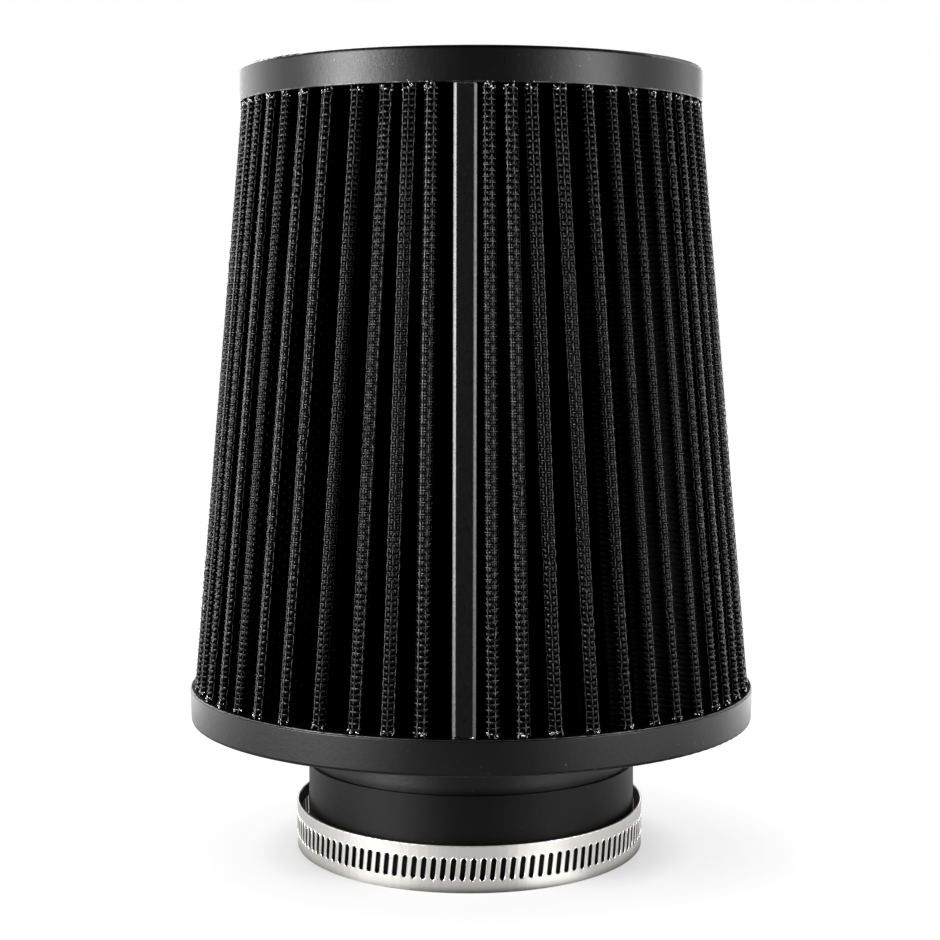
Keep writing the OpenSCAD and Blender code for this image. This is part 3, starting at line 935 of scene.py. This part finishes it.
CAMERA_AT = (-0.000318, -0.54992, 0.15229)
CAMERA_TILT = 84.8764
CAMERA_LENS = 78.165


def soft_light(name, azimuth, elevation, distance, wide, high, power):
    """A soft box that looks at the filter from an azimuth and an elevation in degrees.
    Azimuth 0 is at the camera and positive to its right."""
    light = bpy.data.lights.new(name, "AREA")
    light.shape = "RECTANGLE"
    light.size, light.size_y, light.energy = wide, high, power
    lamp = bpy.data.objects.new(name, light)
    a, e = np.radians(azimuth), np.radians(elevation)
    away = Vector((np.sin(a) * np.cos(e), -np.cos(a) * np.cos(e), np.sin(e)))
    lamp.location = Vector((0, 0, LIGHT_AIM)) + away * distance
    lamp.rotation_euler = away.to_track_quat("Z", "Y").to_euler()
    bpy.context.scene.collection.objects.link(lamp)


def glowing(name, grey, glow, colour):
    """A matt stage colour with a light of its own, whose colour is a shader value."""
    g = Graph(name)
    return g.finish(
        Base_Color=(grey, grey, grey, 1),
        Roughness=0.9,
        Specular_IOR_Level=0.0,
        Emission_Color=colour(g),
        Emission_Strength=glow,
    )


def pale(g):
    """White, with a painted shadow: slightly grey where the filter takes the light off the floor,
    most close to the band, at the sides and behind."""
    x, y, _ = g.parts(g.place())
    away = (x * x + y * y) ** 0.5
    side = g.math("ABSOLUTE", g.math("ARCTAN2", x, y * -1)).ramp(0.35, 1.1)
    beside = away.ramp(0.046, 0.062, 0.17, 0.0) + away.ramp(0.05, 0.12, 0.03, 0.0)
    shade = away.ramp(0.04, 0.13, 0.16, 0.0) + side * beside
    return g.colour(shade, (0.985, 0.985, 0.985), (0, 0, 0))


def bounce(g):
    """Floor light as the filter's skin mirrors it: dim close by and in front, bright further
    off to the left and right, with a pool close before the band at either side."""
    x, y, _ = g.parts(g.place())
    away = (x * x + y * y) ** 0.5
    side = g.math("ABSOLUTE", g.math("ARCTAN2", x, y * -1))
    far = away.ramp(0.17, 0.3) * side.ramp(0.38, 0.66)
    near = away.ramp(0.5, 0.17) * away.ramp(0.046, 0.053)
    pool = side.ramp(0.25, 0.42) * side.ramp(0.85, 0.6) * away.ramp(0.1, 0.065)
    near = near * (pool * x.ramp(-0.01, 0.01, 0.35, 1.3) + 1)
    return g.colour(far + near * NEAR_BOUNCE, (0, 0, 0), (1, 1, 1))


def stage_sheet(name, corners, material):
    """A flat stage piece from its four corners."""
    piece = new_mesh(name, np.array(corners) / MM, [[0, 1, 2, 3]], material)
    return piece


def wall(name, start, end, material):
    """An upright stage wall over the line from start to end on the floor."""
    corners = [(*start, ROOM_FOOT), (*end, ROOM_FOOT), (*end, ROOM_TOP), (*start, ROOM_TOP)]
    return stage_sheet(name, corners, material)


left_back, right_back = (-ROOM_SIDE, ROOM_BACK), (ROOM_SIDE, ROOM_BACK)
left_front, right_front = (-ROOM_SIDE, -ROOM_SIDE), (ROOM_SIDE, -ROOM_SIDE)
ground = [left_front, right_front, right_back, left_back]
level = [(*corner, 0) for corner in ground]
floor = stage_sheet("floor", level, glowing("pale_floor", 0.08, 1.0, pale))
level = [(*corner, MIRROR_FLOOR) for corner in ground]
floor_light = stage_sheet("floor_light", level, glowing("floor_bounce", 0.0, 4.6, bounce))
white = glowing("pale_backdrop", 0.0, 1.0, lambda g: (1, 1, 1, 1))
walls = [
    wall("backdrop", left_back, right_back, white),
    wall("side_wall_1", left_back, left_front, white),
    wall("side_wall_2", left_front, right_front, white),
    wall("side_wall_3", right_front, right_back, white),
]
for piece in [floor, floor_light, *walls]:
    piece.visible_diffuse = False
for piece in [floor, *walls]:
    piece.visible_glossy = False
floor_light.visible_camera = False
floor_light.visible_shadow = False

soft_light("left_key", -60, 15, 1.3, 0.36, 0.85, 40)
soft_light("left_soft", -60, 9, 1.32, 0.95, 0.42, 18)
soft_light("left_wall", -118, 9, 1.3, 1.4, 0.42, 5.2)
soft_light("right_key", 60, 15, 1.3, 0.36, 0.85, 18)
soft_light("right_soft", 60, 9, 1.32, 0.95, 0.42, 5.5)
soft_light("right_wall", 112, 9, 1.3, 1.4, 0.42, 3.8)
soft_light("right_back", 160, 9, 1.3, 0.4, 0.42, 2)
soft_light("left_back", -158, 9, 1.3, 0.4, 0.42, 1.6)
soft_light("high_left_back", -155, 33, 1.3, 0.9, 0.65, 17)
soft_light("high_right_back", 132, 33, 1.3, 0.9, 0.65, 3)

world = bpy.data.worlds.new("studio")
world.use_nodes = True
world.node_tree.nodes["Background"].inputs[0].default_value = (1, 1, 1, 1)
world.node_tree.nodes["Background"].inputs[1].default_value = 0.002
bpy.context.scene.world = world
bpy.context.scene.view_settings.view_transform = "Standard"

camera = bpy.data.objects.new("camera", bpy.data.cameras.new("camera"))
camera.data.sensor_width = 36
camera.data.lens = CAMERA_LENS
camera.data.clip_start, camera.data.clip_end = 0.01, 30
camera.location = CAMERA_AT
camera.rotation_euler = (np.radians(CAMERA_TILT), 0, 0)
bpy.context.scene.collection.objects.link(camera)
bpy.context.scene.camera = camera
